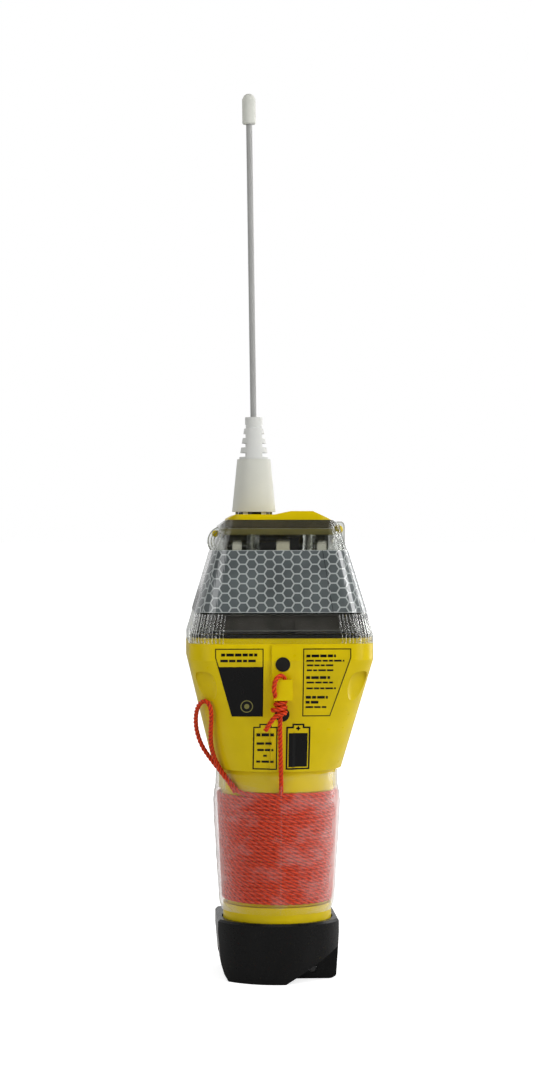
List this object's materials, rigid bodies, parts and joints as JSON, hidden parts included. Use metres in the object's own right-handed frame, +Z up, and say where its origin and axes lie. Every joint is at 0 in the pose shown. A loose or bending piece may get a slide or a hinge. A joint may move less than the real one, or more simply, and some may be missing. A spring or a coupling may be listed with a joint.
{
  "type": "emergency position beacon",
  "caption": "Floating distress beacon with clear strobe lens, whip antenna, slide switch and wound lanyard, standing in a wall bracket it lifts out of.",
  "frame": {"origin": "on the axis of the lower tube, in the plane of the bracket's flat foot", "axes": "+Z up along the tube's axis, -Y out of the face with the lanyard lug, +Y out of the switch face and the bracket's flat back, X across"},
  "size_m": [0.1004, 0.1113, 0.4925],
  "materials": {
    "black_plastic": "satin black moulded plastic",
    "yellow_plastic": "satin safety yellow",
    "clear_plastic": "clear polycarbonate",
    "clear_film": "clear shrink film",
    "reflective_sheet": "silver retroreflective sheet with hexagonal cells",
    "orange_cord": "three-strand twisted cord",
    "white_rubber": "off-white antenna moulding",
    "grey_whip": "grey coated whip",
    "dark_rubber": "black seal rubber",
    "gloss_black": "glossy black moulding",
    "circuit_board": "solder mask",
    "steel": "stainless steel",
    "tin_shield": "tinned shield",
    "cream_part": "cream ceramic or moulding",
    "black_part": "component moulding",
    "led_part": "LED package",
    "cell_wrap": "cell sleeve",
    "wrap_film": "battery sleeve",
    "red_plastic": "red moulding",
    "glass_tube": "reed glass"
  },
  "bodies": {
    "bracket": {"bracket_cup": "black_plastic", "bracket_magnet": "steel"},
    "beacon": {"foot_cap": "yellow_plastic", "foot_seal_ring": "dark_rubber", "foot_screws": "steel", "battery_tray_lower": "black_part", "battery_tray_upper": "black_part", "battery_wrap": "wrap_film", "battery_cell_1": "cell_wrap", "battery_cell_2": "cell_wrap", "battery_cell_3": "cell_wrap", "battery_cell_4": "cell_wrap", "battery_cell_5": "cell_wrap", "battery_cell_6": "cell_wrap", "body_shell": "yellow_plastic", "contact_stud_lower": "dark_rubber", "contact_stud_upper": "dark_rubber", "contact_nuts": "steel", "main_board": "circuit_board", "radio_shield": "tin_shield", "processor_chip": "black_part", "reed_switch": "glass_tube", "gasket_band": "dark_rubber", "lens": "clear_plastic", "reflective_tape": "reflective_sheet", "carrier_ring": "gloss_black", "deck_plate": "gloss_black", "standoffs": "steel", "strobe_board": "circuit_board", "board_screws": "steel", "strobe_leds": "led_part", "divider_wall": "black_part", "sounder_can": "gloss_black", "satellite_patch": "cream_part", "booster_coil": "cream_part", "driver_chip": "black_part", "timer_chip": "black_part", "ear_pins": "yellow_plastic", "top_cap": "yellow_plastic", "cap_seal": "dark_rubber", "antenna_socket": "gloss_black", "antenna_boot": "white_rubber", "loading_coil": "steel", "switch_housing": "black_plastic", "status_light": "clear_plastic", "lanyard_coil": "orange_cord", "lanyard_knot": "orange_cord", "lanyard_bight": "orange_cord", "lanyard_lead": "orange_cord", "lanyard_lug_loop": "orange_cord", "lanyard_tail": "orange_cord", "film_sleeve": "clear_film"},
    "slider": {"switch_slider": "red_plastic", "slider_magnet": "steel", "seal_tab": "red_plastic"},
    "button": {"test_button": "dark_rubber"},
    "antenna": {"antenna_sleeve": "white_rubber", "antenna_whip": "grey_whip", "antenna_tip": "white_rubber"}
  },
  "joints": [
    {"name": "beacon_lift", "type": "slide", "parent": "bracket", "child": "beacon", "axis": [0, 0, 1], "range_m": [0, 0.04]},
    {"name": "switch_slide", "type": "slide", "parent": "beacon", "child": "slider", "axis": [1, 0, 0], "range_m": [0, 0.012]},
    {"name": "button_press", "type": "slide", "parent": "beacon", "child": "button", "axis": [0, -1, 0], "range_m": [0, 0.0015], "stiffness_N_per_m": 400},
    {"name": "antenna_flex", "type": "hinge", "parent": "beacon", "child": "antenna", "pos_m": [-0.0131, 0, 0.298], "axis": [0, 1, 0], "range_deg": [-60, 60], "stiffness_Nm_per_rad": 0.3, "deforming": ["antenna_sleeve"]}
  ]
}
